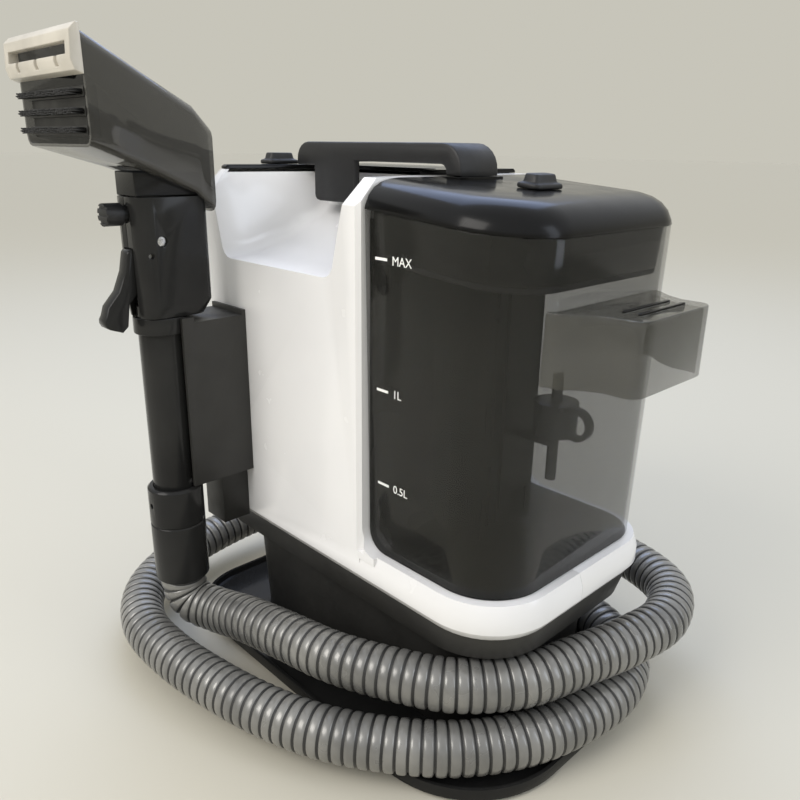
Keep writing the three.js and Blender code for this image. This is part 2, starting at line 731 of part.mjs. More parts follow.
function lidCatch() {
  const frame = box(136, 141, 14, 40, 352, 376).subtract(box(130, 150, 19, 35, 357, 371));
  return frame.add(box(136, 138, 18, 36, 356, 372));
}

// ---------------------------------------------------------------- hand tool
function cuff() {
  const { bottom, seam, top, radius } = CUFF;
  const bore = 17.4;
  const made = turned(
    [
      [bore, bottom],
      [radius - 2, bottom],
      [radius, bottom + 2],
      [radius, seam - 1],
      [radius - 0.8, seam - 0.4],
      [radius - 0.8, seam + 0.4],
      [radius, seam + 1],
      [radius, top - 2],
      [radius - 2, top],
      [bore, top],
      [bore, bottom],
    ],
    [TOOL_X, WAND_Y],
    32,
  );
  return made.subtract(rod(2.2, -195, WAND_Y, [TOOL_X, 146], "y", 12));
}

function wandTube() {
  const { radius, bore, bottom, top } = WAND;
  const at = [TOOL_X, WAND_Y];
  return rod(radius, bottom, top, at, "z", 32).subtract(rod(bore, bottom - 1, top + 1, at, "z", 32));
}

function wandCollar() {
  const at = [TOOL_X, WAND_Y];
  return rod(20, 288, GRIP.bottom - GAP, at, "z", 32).subtract(rod(WAND.radius + GAP, 270, 310, at, "z", 32));
}

function gripWhole() {
  const { front, back, bottom, top } = GRIP;
  const middle = (front + back) / 2;
  const half = (back - front) / 2;
  const at = (halfX, extra, z, shift) => {
    const points = ring(halfX, half - extra, 12, z, 4);
    return points.map((p) => p.add(new THREE.Vector3(TOOL_X, middle + shift, 0)));
  };
  let made = loft([
    at(GRIP.halfX - 1, 4, bottom, -3),
    at(GRIP.halfX, 0, bottom + 10, 0),
    at(GRIP.halfX, 0, top, 0),
  ]);
  made = made.subtract(rod(WAND.radius + GAP, bottom - 5, WAND.top + 1, [TOOL_X, WAND_Y], "z", 32));
  made = made.subtract(box(TOOL_X - 12, TOOL_X + 12, -164, back - 3, WAND.top + 4, top + 2));
  made = made.subtract(box(TOOL_X - 7, TOOL_X + 7, -180, -160, TRIGGER.low, TRIGGER.high));
  made = made.subtract(rod(6.5, -180, -160, [TOOL_X, BUTTON_Z], "y", 20));
  made = made.subtract(rod(2, TOOL_X - 30, TOOL_X + 30, [TRIGGER.pivotY, TRIGGER.pivotZ], "x", 16));
  made = made.subtract(rod(4, TOOL_X + 12, TOOL_X + 30, [-158, 357], "x", 16));
  return made;
}

const TRIGGER = { low: 296, high: 352, pivotY: -167, pivotZ: 347 };
const BUTTON_Z = 376;

function trigger() {
  const outline = [
    [-165, 350],
    [-171, 351.5],
    ...arc(-176, 348, 3.5, 90, 180, 3),
    [-182, 336],
    [-188, 322],
    [-197, 312],
    ...arc(-195, 301, 6, 135, 250, 4),
    [-188, 292],
    [-183.5, 296],
    [-181, 312],
    [-168, 326],
  ];
  const shape = new THREE.Shape(outline.map(([y, z]) => new THREE.Vector2(y, z)));
  const geometry = new THREE.ExtrudeGeometry(shape, {
    depth: 9.4,
    bevelEnabled: true,
    bevelSize: 1.6,
    bevelThickness: 1.6,
    bevelOffset: -1.6,
    bevelSegments: 2,
  });
  geometry.rotateX(Math.PI / 2);
  geometry.rotateZ(Math.PI / 2);
  geometry.translate(TOOL_X - 4.7, 0, 0);
  return solid(geometry).subtract(rod(2, -200, -70, [TRIGGER.pivotY, TRIGGER.pivotZ], "x", 16));
}

function triggerPin() {
  return rod(2 - GAP, TOOL_X - 15, TOOL_X + 15, [TRIGGER.pivotY, TRIGGER.pivotZ], "x", 16);
}

function releaseButton() {
  let made = rod(8, -192, -179, [TOOL_X, BUTTON_Z], "y", 24).add(rod(6, -180, -166, [TOOL_X, BUTTON_Z], "y"));
  [-5, 0, 5].forEach((offset) => {
    const z = BUTTON_Z + offset;
    made = made.subtract(box(TOOL_X - 9, TOOL_X + 9, -193, -191, z - 0.8, z + 0.8));
  });
  return made;
}

function gripScrew() {
  return rod(3.7, TOOL_X + 13, TOOL_X + 17.5, [-158, 357], "x", 20);
}

// ---------------------------------------------------------------- nozzle head
function hoodSolid(inset, mouthExtra, backInset) {
  const sections = [
    { y: GRIP.back + 3 - backInset, half: 21.5, low: 376, high: 436 },
    { y: -130, half: 27, low: 390, high: 450 },
    { y: -172, half: 41, low: 407, high: 468 },
    { y: MOUTH_Y - mouthExtra, half: 55, low: 421, high: 488 },
  ];
  return loft(
    sections.map(({ y, half, low, high }) => {
      const middle = (low + high) / 2;
      const points = ring(half - inset, (high - low) / 2 - inset, 8 - inset, 0, 3);
      return points.map((p) => new THREE.Vector3(TOOL_X + p.x, y, middle + p.y));
    }),
  );
}

function nozzleHood() {
  const shell = hoodSolid(0, 0, 0).subtract(hoodSolid(2.2, 1, 2.2));
  return shell.subtract(box(TOOL_X - 20, TOOL_X + 20, GRIP.front - 0.5, GRIP.back + 0.5, 340, 417));
}

function nozzleNeck() {
  const { front, back, top } = GRIP;
  const outside = box(TOOL_X - 15, TOOL_X + 15, front + 2, back - 4, top + GAP, 405);
  const inside = box(TOOL_X - 12, TOOL_X + 12, front + 5, back - 7, top - 1, 410);
  return outside.subtract(inside);
}

function lipFrame() {
  const frame = profile(
    [
      [MOUTH_Y - 0.4, 462],
      [MOUTH_Y - 6, 464],
      [MOUTH_Y - 8, 470],
      [MOUTH_Y - 7, 486],
      [MOUTH_Y - 3, 490],
      [MOUTH_Y - 0.4, 490],
    ],
    TOOL_X - 56,
    TOOL_X + 56,
  );
  let made = frame.subtract(box(TOOL_X - 49, TOOL_X + 49, -240, -200, 473, 480));
  [-33, 0, 33].forEach((x) => {
    made = made.subtract(box(TOOL_X + x - 2.5, TOOL_X + x + 2.5, -240, MOUTH_Y - 4, 467, 474));
  });
  return made;
}

const BRISTLE_ROWS = [431, 442, 453];

function brushBlock() {
  let made = box(TOOL_X - 48.5, TOOL_X + 48.5, MOUTH_Y + 4, MOUTH_Y + 9, 427, 457);
  BRISTLE_ROWS.forEach((z) => {
    made = made.add(box(TOOL_X - 48, TOOL_X + 48, MOUTH_Y + 1, MOUTH_Y + 5, z - 2.8, z + 2.8));
  });
  return made;
}

function bristleRow(z) {
  return box(TOOL_X - 47, TOOL_X + 47, MOUTH_Y - 7, MOUTH_Y + 1 - GAP, z - 2.5, z + 2.5);
}

function sprayTip() {
  return rod(4, MOUTH_Y + 2, MOUTH_Y + 16, [TOOL_X, 467], "y", 16);
}

// ---------------------------------------------------------------- hose
// Centre line from the cuff, once round the waist above, once below, into the port behind.
const HOSE_POINTS = [
  [-135, -156, 75.5],
  [-135, -156, 67],
  [-126, -153, 53],
  [-102, -144, 50],
  [-64, -139, 58],
  [-15, -135, 66],
  [35, -127, 70],
  [80, -108, 71],
  [115, -86, 71],
  [144, -48, 71],
  [159, 0, 71],
  [172, 50, 71],
  [176, 95, 71],
  [158, 135, 71],
  [115, 156, 71],
  [55, 160, 70],
  [-10, 158, 66],
  [-75, 156, 62],
  [-135, 146, 58],
  [-188, 112, 53],
  [-222, 60, 48],
  [-238, 0, 43],
  [-240, -60, 38],
  [-228, -118, 34],
  [-198, -163, 32],
  [-152, -187, 31],
  [-98, -190, 31],
  [-43, -183, 31],
  [5, -172, 31],
  [48, -156, 31],
  [92, -128, 31],
  [128, -95, 31],
  [154, -54, 31],
  [168, -8, 31],
  [171, 38, 31],
  [156, 78, 31],
  [122, 100, 32],
  [80, 106, 35],
  [45, 105, 38],
  [22.4, 105, 38],
];

function hoseTube() {
  const points = HOSE_POINTS.map((p) => new THREE.Vector3(...p));
  const path = new THREE.CatmullRomCurve3(points, false, "centripetal");
  const section = new THREE.Shape();
  section.absarc(0, 0, HOSE_RADIUS, 0, 2 * Math.PI, false);
  const outline = new THREE.Shape(section.getPoints(5).slice(0, 10));
  const geometry = new THREE.ExtrudeGeometry(outline, { steps: 78, extrudePath: path, bevelEnabled: false });
  const made = solid(geometry);
  return made;
}

// ---------------------------------------------------------------- assembly
part("base_tray", baseTray(), "black");
footPlaces.forEach(([x, y], i) => {
  part(`rubber_foot_${i + 1}`, rod(FOOT.radius, 0, FOOT.height, [x, y]), "rubber");
});
screwPlaces.forEach(([x, y], i) => {
  part(`base_screw_${i + 1}`, baseScrew(x, y), "steel");
});
part("base_housing", baseHousing(), "mattBlack");
part("hose_port", hosePort(), "black");
part("mains_inlet", mainsInlet(), "black");
const shell = wholeShell();
part("shell_front_half", shell.intersect(box(-BIG, BIG, -BIG, -GAP / 2, -BIG, BIG)), "white");
part("shell_rear_half", shell.intersect(box(-BIG, BIG, GAP / 2, BIG, -BIG, BIG)), "white");
part("top_cover", topCover(), "black");
part("carry_handle", carryHandle(), "grey");
part("clean_tank_latch", deckTab(-162, -22, COVER_TOP + GAP), "grey");
part("power_button", box(-191.5, -184, BUTTON.y - 11, BUTTON.y + 11, BUTTON.z - 8, BUTTON.z + 8), "black");
part("suction_motor", motor(), "steel");
part("suction_fan", fan(), "black");
part("fan_housing", fanHousing(), "grey");
part("water_pump", pump(), "grey");
part("control_board", controlBoard(), "board");
part("waste_duct", wasteDuct(), "black");
part("tool_holder", toolHolder(), "mattBlack");
holderScrewPlaces.forEach(([x, z], i) => part(`holder_screw_${i + 1}`, holderScrew(x, z), "steel"));
part("clean_tank", cleanTank(), "smoked");
part("clean_tank_lid", cleanLid(), "black");
part("clean_tank_valve", cleanValve(), "black");
part("tank_bay_liner", bayLiner(), "mattBlack");
part("dirty_tank", dirtyTank(), "smoked");
part("tank_grip", tankGrip(), "smoked");
part("tank_column", tankColumn(), "black");
part("float_guide", floatGuide(), "black");
part("shutoff_float", floatBody(), "black");
part("dirty_tank_lid", dirtyLid(), "black");
part("lid_gasket", lidGasket(), "rubber");
part("lid_catch", lidCatch(), "black");
part("dirty_lid_latch", sloped(deckTab(95, 0, LID_TOP + GAP)), "grey");
part("hose_cuff", cuff(), "black");
part("wand_tube", wandTube(), "black");
part("wand_collar", wandCollar(), "black");
const grip = gripWhole();
part("grip_left_half", grip.intersect(leftOf(TOOL_X - GAP / 2)), "black");
part("grip_right_half", grip.intersect(rightOf(TOOL_X + GAP / 2)), "black");
part("grip_screw", gripScrew(), "steel");
part("trigger", trigger(), "black");
part("trigger_pin", triggerPin(), "steel");
part("release_button", releaseButton(), "grey");
part("nozzle_hood", nozzleHood(), "smoked");
part("nozzle_neck", nozzleNeck(), "black");
part("suction_lip", lipFrame(), "pale");
part("brush_block", brushBlock(), "black");
BRISTLE_ROWS.forEach((z, i) => part(`bristle_row_${i + 1}`, bristleRow(z), "bristle"));
part("spray_tip", sprayTip(), "black");
part("suction_hose", hoseTube(), "hose");

export default machine;
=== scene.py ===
"""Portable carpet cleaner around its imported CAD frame. Metres, +Z up, floor at z = 0."""
import json
import math

import bmesh
import bpy
from mathutils import Matrix, Vector

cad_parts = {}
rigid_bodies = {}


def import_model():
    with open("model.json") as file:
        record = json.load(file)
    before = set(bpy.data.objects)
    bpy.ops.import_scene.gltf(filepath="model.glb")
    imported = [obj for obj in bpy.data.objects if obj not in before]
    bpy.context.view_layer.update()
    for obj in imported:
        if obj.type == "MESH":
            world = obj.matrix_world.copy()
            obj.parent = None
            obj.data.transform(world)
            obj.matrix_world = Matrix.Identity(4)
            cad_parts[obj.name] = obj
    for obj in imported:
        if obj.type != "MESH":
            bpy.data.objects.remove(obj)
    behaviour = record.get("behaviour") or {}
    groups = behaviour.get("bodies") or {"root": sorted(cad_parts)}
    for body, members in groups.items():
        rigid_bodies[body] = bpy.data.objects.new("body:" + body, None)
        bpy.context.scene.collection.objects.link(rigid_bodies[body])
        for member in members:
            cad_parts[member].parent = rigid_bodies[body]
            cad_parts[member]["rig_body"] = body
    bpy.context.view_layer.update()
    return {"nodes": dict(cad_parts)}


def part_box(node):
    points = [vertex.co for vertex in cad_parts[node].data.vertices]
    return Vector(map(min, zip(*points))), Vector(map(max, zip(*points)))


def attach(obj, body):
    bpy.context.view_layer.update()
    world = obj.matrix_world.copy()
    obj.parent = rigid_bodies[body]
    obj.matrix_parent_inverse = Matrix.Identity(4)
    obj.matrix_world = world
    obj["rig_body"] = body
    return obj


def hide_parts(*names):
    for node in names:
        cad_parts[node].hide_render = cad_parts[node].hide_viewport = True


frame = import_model()
nodes = frame["nodes"]
MM = 0.001

# ---------------------------------------------------------------- driving values
CAMERA_PLACE = Vector((0.3957, -0.4133, 0.4243))
CAMERA_YAW = math.radians(46.0)
CAMERA_PITCH = math.radians(18.7)
CAMERA_ROLL = math.radians(0.8)
CAMERA_LENS = 33.75  # mm on a 36 mm sensor

HOSE_RADIUS = 18.5 * MM
RIB_PITCH = 8.6 * MM
RIB_DEPTH = 3.0 * MM
RINGS_PER_RIB = 8
HOSE_SIDES = 28
# The centre line from the cuff, round the waist twice, into the port behind (mm).
HOSE_POINTS = [
    (-135, -156, 75.5),
    (-135, -156, 67),
    (-126, -153, 53),
    (-102, -144, 50),
    (-64, -139, 58),
    (-15, -135, 66),
    (35, -127, 70),
    (80, -108, 71),
    (115, -86, 71),
    (144, -48, 71),
    (159, 0, 71),
    (172, 50, 71),
    (176, 95, 71),
    (158, 135, 71),
    (115, 156, 71),
    (55, 160, 70),
    (-10, 158, 66),
    (-75, 156, 62),
    (-135, 146, 58),
    (-188, 112, 53),
    (-222, 60, 48),
    (-238, 0, 43),
    (-240, -60, 38),
    (-228, -118, 34),
    (-198, -163, 32),
    (-152, -187, 31),
    (-98, -190, 31),
    (-43, -183, 31),
    (5, -172, 31),
    (48, -156, 31),
    (92, -128, 31),
    (128, -95, 31),
    (154, -54, 31),
    (168, -8, 31),
    (171, 38, 31),
    (156, 78, 31),
    (122, 100, 32),
    (80, 106, 35),
    (45, 105, 38),
    (22.4, 105, 38),
]


# ---------------------------------------------------------------- camera
def make_camera():
    yaw, pitch, roll = CAMERA_YAW, CAMERA_PITCH, CAMERA_ROLL
    flat = math.cos(pitch)
    forward = Vector((-math.sin(yaw) * flat, math.cos(yaw) * flat, -math.sin(pitch)))
    level = Vector((math.cos(yaw), math.sin(yaw), 0))
    upright = level.cross(forward)
    right = level * math.cos(roll) + upright * math.sin(roll)
    up = upright * math.cos(roll) - level * math.sin(roll)
    data = bpy.data.cameras.new("camera")
    data.lens = CAMERA_LENS
    data.sensor_width = 36
    camera = bpy.data.objects.new("camera", data)
    bpy.context.scene.collection.objects.link(camera)
    turn = Matrix((right, up, -forward)).transposed()
    camera.matrix_world = Matrix.Translation(CAMERA_PLACE) @ turn.to_4x4()
    bpy.context.scene.camera = camera


make_camera()


# ---------------------------------------------------------------- material helpers
def new_material(name, color, roughness, **sockets):
    material = bpy.data.materials.new(name)
    material.use_nodes = True
    shader = material.node_tree.nodes["Principled BSDF"]
    shader.inputs["Base Color"].default_value = (*color, 1)
    shader.inputs["Roughness"].default_value = roughness
    for socket, value in sockets.items():
        shader.inputs[socket.replace("_", " ")].default_value = value
    return material


def noise(material, scale, detail=4.0):
    tree = material.node_tree
    place = tree.nodes.new("ShaderNodeTexCoord")
    texture = tree.nodes.new("ShaderNodeTexNoise")
    texture.inputs["Scale"].default_value = scale
    texture.inputs["Detail"].default_value = detail
    tree.links.new(place.outputs["Object"], texture.inputs["Vector"])
    return texture.outputs["Fac"]


def mapped(material, value, low, high):
    tree = material.node_tree
    node = tree.nodes.new("ShaderNodeMapRange")
    node.inputs["From Min"].default_value = 0.3
    node.inputs["From Max"].default_value = 0.7
    node.inputs["To Min"].default_value = low
    node.inputs["To Max"].default_value = high
    tree.links.new(value, node.inputs["Value"])
    return node.outputs["Result"]


def vary_roughness(material, scale, low, high):
    shader = material.node_tree.nodes["Principled BSDF"]
    value = mapped(material, noise(material, scale), low, high)
    material.node_tree.links.new(value, shader.inputs["Roughness"])


def vary_color(material, scale, dark, light):
    tree = material.node_tree
    ramp = tree.nodes.new("ShaderNodeValToRGB")
    ramp.color_ramp.elements[0].position = 0.35
    ramp.color_ramp.elements[0].color = (*dark, 1)
    ramp.color_ramp.elements[1].position = 0.65
    ramp.color_ramp.elements[1].color = (*light, 1)
    tree.links.new(noise(material, scale), ramp.inputs["Fac"])
    tree.links.new(ramp.outputs["Color"], tree.nodes["Principled BSDF"].inputs["Base Color"])


def add_bump(material, scale, height, distance=0.0002):
    tree = material.node_tree
    bump = tree.nodes.new("ShaderNodeBump")
    bump.inputs["Strength"].default_value = height
    bump.inputs["Distance"].default_value = distance
    tree.links.new(noise(material, scale, 2.0), bump.inputs["Height"])
    tree.links.new(bump.outputs["Normal"], tree.nodes["Principled BSDF"].inputs["Normal"])


# ---------------------------------------------------------------- materials
def white_gloss():
    made = new_material("white_gloss", (0.80, 0.80, 0.80), 0.22, Coat_Weight=0.35, Coat_Roughness=0.08)
    vary_color(made, 9, (0.83, 0.825, 0.83), (0.87, 0.865, 0.865))
    vary_roughness(made, 30, 0.18, 0.28)
    add_bump(made, 60, 0.06, 0.0004)
    return made


def gloss_black(name="gloss_black", tone=0.004):
    made = new_material(name, (tone, tone, tone), 0.16, Coat_Weight=0.04, Coat_Roughness=0.06)
    made.node_tree.nodes["Principled BSDF"].inputs["Specular IOR Level"].default_value = 0.16
    vary_color(made, 14, (tone, tone, tone), (tone * 1.6, tone * 1.6, tone * 1.55))
    vary_roughness(made, 40, 0.13, 0.24)
    add_bump(made, 90, 0.05, 0.0003)
    return made


def matt_plastic(name, tone, roughness=0.5, grain=900):
    made = new_material(name, tone, roughness)
    vary_color(made, 25, tone, tuple(1.25 * channel for channel in tone))
    vary_roughness(made, 60, roughness - 0.06, roughness + 0.08)
    add_bump(made, grain, 0.35, 0.00012)
    return made


def smoked(name, alpha, tone):
    made = new_material(name, tone, 0.05, Alpha=alpha, Coat_Weight=0.25, Coat_Roughness=0.03)
    vary_roughness(made, 12, 0.04, 0.09)
    add_bump(made, 18, 0.08, 0.0006)
    return made


def hose_plastic():
    made = new_material("hose_grey", (0.2, 0.2, 0.19), 0.3, Coat_Weight=0.4, Coat_Roughness=0.15)
    made.node_tree.nodes["Principled BSDF"].inputs["Metallic"].default_value = 0.25
    vary_color(made, 22, (0.15, 0.148, 0.14), (0.25, 0.245, 0.23))
    vary_roughness(made, 35, 0.24, 0.38)
    add_bump(made, 300, 0.12, 0.0002)
    return made


def bare_metal():
    made = new_material("bare_metal", (0.55, 0.55, 0.54), 0.28, Metallic=1.0)
    vary_roughness(made, 120, 0.2, 0.4)
    add_bump(made, 500, 0.1, 0.0001)
    return made


LOOKS = {
    "white": white_gloss(),
    "gloss": gloss_black(),
    "tool": gloss_black("tool_black", 0.016),
    "matt": matt_plastic("matt_black", (0.02, 0.0195, 0.018), 0.46),
    "grey": matt_plastic("handle_grey", (0.009, 0.009, 0.0095), 0.5, 700),
    "tray": gloss_black("tray_black", 0.012),
    "smoked": smoked("smoked_tank", 0.34, (0.02, 0.02, 0.017)),
    "smoked_hood": smoked("smoked_hood", 0.74, (0.07, 0.068, 0.061)),
    "smoked_grip": smoked("smoked_grip", 0.5, (0.055, 0.054, 0.044)),
    "pale": matt_plastic("lip_pale", (0.50, 0.47, 0.41), 0.36, 500),
    "hose": hose_plastic(),
    "rubber": matt_plastic("rubber_black", (0.012, 0.012, 0.012), 0.75),
    "bristle": matt_plastic("bristle_black", (0.012, 0.012, 0.012), 0.6),
    "board": matt_plastic("circuit_green", (0.02, 0.12, 0.05), 0.45),
    "metal": bare_metal(),
    # A darker copy of the hose's grey for its groove faces: painted shade in the grooves, not a colour
    # of the hose.
    "groove_shade": matt_plastic("hose_groove_shade", (0.035, 0.035, 0.034), 0.5),
    "mark": matt_plastic("mark_white", (0.8, 0.8, 0.78), 0.4),
}


# ---------------------------------------------------------------- mesh helpers
def add_object(name, mesh, look, body):
    made = bpy.data.objects.new(name, mesh)
    bpy.context.scene.collection.objects.link(made)
    made.data.materials.clear()
    made.data.materials.append(LOOKS[look])
    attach(made, body)
    return made


def mesh_from(name, vertices, faces):
    mesh = bpy.data.meshes.new(name)
    mesh.from_pydata(vertices, [], faces)
    mesh.update()
    mesh.polygons.foreach_set("use_smooth", [True] * len(mesh.polygons))
    return mesh


# A copy of a CAD solid with its edges rounded and its curves shaded smooth.
def refine(node, look, bevel=0.7 * MM, segments=3, angle=32):
    source = nodes[node]
    mesh = source.data.copy()
    mesh.name = f"fine_{node}"
    work = bmesh.new()
    work.from_mesh(mesh)
    bmesh.ops.remove_doubles(work, verts=work.verts, dist=0.00002)
    bmesh.ops.dissolve_limit(
        work, angle_limit=math.radians(0.6), verts=work.verts, edges=work.edges, delimit={"NORMAL"}
    )
    work.to_mesh(mesh)
    work.free()
    mesh.polygons.foreach_set("use_smooth", [True] * len(mesh.polygons))
    body = source["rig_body"]
    made = add_object(f"fine_{node}", mesh, look, body)
    if bevel:
        rounding = made.modifiers.new("edges", "BEVEL")
        rounding.width = bevel
        rounding.segments = segments
        rounding.limit_method = "ANGLE"
        rounding.angle_limit = math.radians(angle)
        rounding.harden_normals = True
        rounding.use_clamp_overlap = True
    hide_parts(node)


# ---------------------------------------------------------------- hose
def mix(start_point, end_point, start, end, t):
    return start_point * ((end - t) / (end - start)) + end_point * ((t - start) / (end - start))


def catmull_rom(knots, times, t):
    first = [mix(knots[i], knots[i + 1], times[i], times[i + 1], t) for i in range(3)]
    second = [mix(first[i], first[i + 1], times[i], times[i + 2], t) for i in range(2)]
    return mix(second[0], second[1], times[1], times[2], t)


def fine_spline(knots, steps=24):
    """A centripetal Catmull-Rom curve through the knots."""
    ends = [knots[0] * 2 - knots[1], *knots, knots[-1] * 2 - knots[-2]]
    fine = []
    for four in zip(ends, ends[1:], ends[2:], ends[3:]):
        times = [0.0]
        for p, q in zip(four, four[1:]):
            times.append(times[-1] + math.sqrt((q - p).length))
        for step in range(steps):
            fine.append(catmull_rom(four, times, times[1] + (times[2] - times[1]) * step / steps))
    fine.append(knots[-1])
    return fine


def evenly_spaced(fine, count):
    """The same curve as count steps of equal length, and its whole length."""
    lengths = [0.0]
    for p, q in zip(fine, fine[1:]):
        lengths.append(lengths[-1] + (q - p).length)
    spaced = []
    index = 0
    for i in range(count + 1):
        target = lengths[-1] * i / count
        while index < len(fine) - 2 and lengths[index + 1] < target:
            index += 1
        share = (target - lengths[index]) / (lengths[index + 1] - lengths[index])
        spaced.append(fine[index].lerp(fine[index + 1], share))
    return spaced, lengths[-1]


def rib_radius(step):
    """A broad rounded bead with a narrow groove; step counts the rings of one rib."""
    across = abs(2 * step / RINGS_PER_RIB - 1)
    return HOSE_RADIUS - RIB_DEPTH * (1 - math.sqrt(1 - across**3.2))


def make_hose():
    fine = fine_spline([Vector(point) * MM for point in HOSE_POINTS])
    _, length = evenly_spaced(fine, 1)
    centres, length = evenly_spaced(fine, round(length / RIB_PITCH) * RINGS_PER_RIB)
    side = Vector((0, 1, 0))
    vertices = []
    for i, centre in enumerate(centres):
        ahead = centres[min(i + 1, len(centres) - 1)]
        behind = centres[max(i - 1, 0)]
        along = (ahead - behind).normalized()
        side = (side - along * side.dot(along)).normalized()
        other = along.cross(side)
        radius = rib_radius(i % RINGS_PER_RIB)
        for k in range(HOSE_SIDES):
            angle = 2 * math.pi * k / HOSE_SIDES
            vertices.append(centre + (side * math.cos(angle) + other * math.sin(angle)) * radius)
    faces = []
    for i in range(len(centres) - 1):
        for k in range(HOSE_SIDES):
            a = i * HOSE_SIDES + k
            b = i * HOSE_SIDES + (k + 1) % HOSE_SIDES
            faces.append((a, b, b + HOSE_SIDES, a + HOSE_SIDES))
    faces.append(tuple(reversed(range(HOSE_SIDES))))
    last = (len(centres) - 1) * HOSE_SIDES
    faces.append(tuple(range(last, last + HOSE_SIDES)))
    mesh = mesh_from("corrugated_hose", vertices, faces)
    made = add_object("corrugated_hose", mesh, "hose", "chassis")
    # The faces at the bottom of each groove take the dark material, which paints the shade between the
    # ribs.
    mesh.materials.append(LOOKS["groove_shade"])
    for index, face in enumerate(mesh.polygons):
        in_shaded_groove = (index // HOSE_SIDES) % RINGS_PER_RIB in (0, RINGS_PER_RIB - 1)
        face.material_index = 1 if in_shaded_groove and index < last else 0
    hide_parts("suction_hose")


make_hose()


# ---------------------------------------------------------------- stage and lights
FLOOR_HALF_SIDE = 30  # metres, so that its edge is lost in the horizon
FLOOR_COLOR = (0.585, 0.555, 0.465)
HORIZON_COLOR = (0.572, 0.557, 0.489, 1)  # what the floor comes to far away
SKY_COLOR = (0.95, 0.97, 1.0, 1)
DOME_STRENGTH = 1.0


def make_floor():
    far = FLOOR_HALF_SIDE
    corners = [(-far, -far, 0), (far, -far, 0), (far, far, 0), (-far, far, 0)]
    mesh = mesh_from("floor", corners, [(0, 1, 2, 3)])
    floor = bpy.data.objects.new("floor", mesh)
    bpy.context.scene.collection.objects.link(floor)
    floor.data.materials.append(new_material("floor", FLOOR_COLOR, 0.7))


def area_light(name, place, aim, size, power, color):
    data = bpy.data.lights.new(name, "AREA")
    data.shape = "RECTANGLE"
    data.size, data.size_y = size
    data.energy = power
    data.color = color
    lamp = bpy.data.objects.new(name, data)
    bpy.context.scene.collection.objects.link(lamp)
    lamp.location = place
    lamp.rotation_euler = (Vector(aim) - Vector(place)).to_track_quat("-Z", "Y").to_euler()


def make_world():
    """A soft bright dome that fades at the horizon into the colour of the floor."""
    world = bpy.data.worlds.new("world")
    bpy.context.scene.world = world
    world.use_nodes = True
    tree = world.node_tree
    place = tree.nodes.new("ShaderNodeTexCoord")
    split = tree.nodes.new("ShaderNodeSeparateXYZ")
    ramp = tree.nodes.new("ShaderNodeValToRGB")
    ramp.color_ramp.elements[0].position = 0.2
    ramp.color_ramp.elements[0].color = HORIZON_COLOR
    ramp.color_ramp.elements[1].position = 0.5
    ramp.color_ramp.elements[1].color = SKY_COLOR
    tree.links.new(place.outputs["Generated"], split.inputs["Vector"])
    tree.links.new(split.outputs["Z"], ramp.inputs["Fac"])
    tree.links.new(ramp.outputs["Color"], tree.nodes["Background"].inputs["Color"])
    tree.nodes["Background"].inputs["Strength"].default_value = DOME_STRENGTH


# The plain transform keeps the shell white.
bpy.context.scene.view_settings.view_transform = "Standard"
make_world()
make_floor()
area_light("key", (-0.2, -1.6, 1.5), (0, 0, 0.25), (1.2, 0.9), 20, (1.0, 0.96, 0.91))
area_light("sky", (-0.9, 0.9, 1.9), (0, 0, 0.3), (1.8, 1.2), 16, (0.45, 0.6, 1.0))
area_light("side", (1.8, 0.6, 1.0), (0, 0, 0.3), (0.5, 1.4), 7, (0.8, 0.87, 1.0))

# ---------------------------------------------------------------- shell, base and top
refine("shell_front_half", "white", 0.9 * MM)
refine("shell_rear_half", "white", 0.9 * MM)
refine("base_tray", "tray", 0.8 * MM)
refine("base_housing", "matt", 0.6 * MM)
for node in ("hose_port", "mains_inlet", "power_button"):
    refine(node, "matt", 0.7 * MM)
refine("top_cover", "gloss", 0.6 * MM)
refine("carry_handle", "grey", 1.2 * MM)
refine("clean_tank_latch", "grey", 1.0 * MM)
refine("tool_holder", "matt", 1.4 * MM)
refine("tank_bay_liner", "gloss", 0.2 * MM)

# ---------------------------------------------------------------- tanks
refine("clean_tank", "smoked", 0.5 * MM)
refine("clean_tank_lid", "gloss", 0.6 * MM)
refine("dirty_tank", "smoked", 0.5 * MM)
refine("tank_grip", "smoked_grip", 1.1 * MM)
refine("tank_column", "gloss", 0.8 * MM)
refine("float_guide", "gloss", 0.5 * MM)
refine("shutoff_float", "gloss", 1.6 * MM)
refine("dirty_tank_lid", "gloss", 0.6 * MM)
refine("lid_gasket", "rubber", 0.5 * MM)
refine("lid_catch", "matt", 0.6 * MM)
refine("dirty_lid_latch", "grey", 1.0 * MM)

# ---------------------------------------------------------------- hand tool
refine("hose_cuff", "tool", 0.4 * MM)
refine("wand_tube", "tool", 0.3 * MM)
refine("wand_collar", "tool", 0.8 * MM)
refine("grip_left_half", "tool", 0.5 * MM)
refine("grip_right_half", "tool", 0.5 * MM)
refine("grip_screw", "metal", 0.4 * MM)
refine("trigger", "tool", 1.2 * MM)
refine("release_button", "grey", 0.7 * MM)
refine("nozzle_hood", "smoked_hood", 0.8 * MM)
refine("nozzle_neck", "tool", 0.8 * MM)
refine("suction_lip", "pale", 0.6 * MM)
refine("brush_block", "matt", 0.4 * MM)
refine("spray_tip", "gloss", 0.4 * MM)

# ---------------------------------------------------------------- CAD solids that keep their shape
KEPT_LOOKS = {
    "rubber": [f"rubber_foot_{i}" for i in range(1, 5)],
    "metal": [f"base_screw_{i}" for i in range(1, 5)]
    + [f"holder_screw_{i}" for i in (1, 2)]
    + ["suction_motor", "trigger_pin"],
    "matt": ["suction_fan", "fan_housing", "waste_duct", "clean_tank_valve"],
    "grey": ["water_pump"],
    "board": ["control_board"],
}
for look, names in KEPT_LOOKS.items():
    for name in names:
        mesh = nodes[name].data
        mesh.materials.clear()
        mesh.materials.append(LOOKS[look])

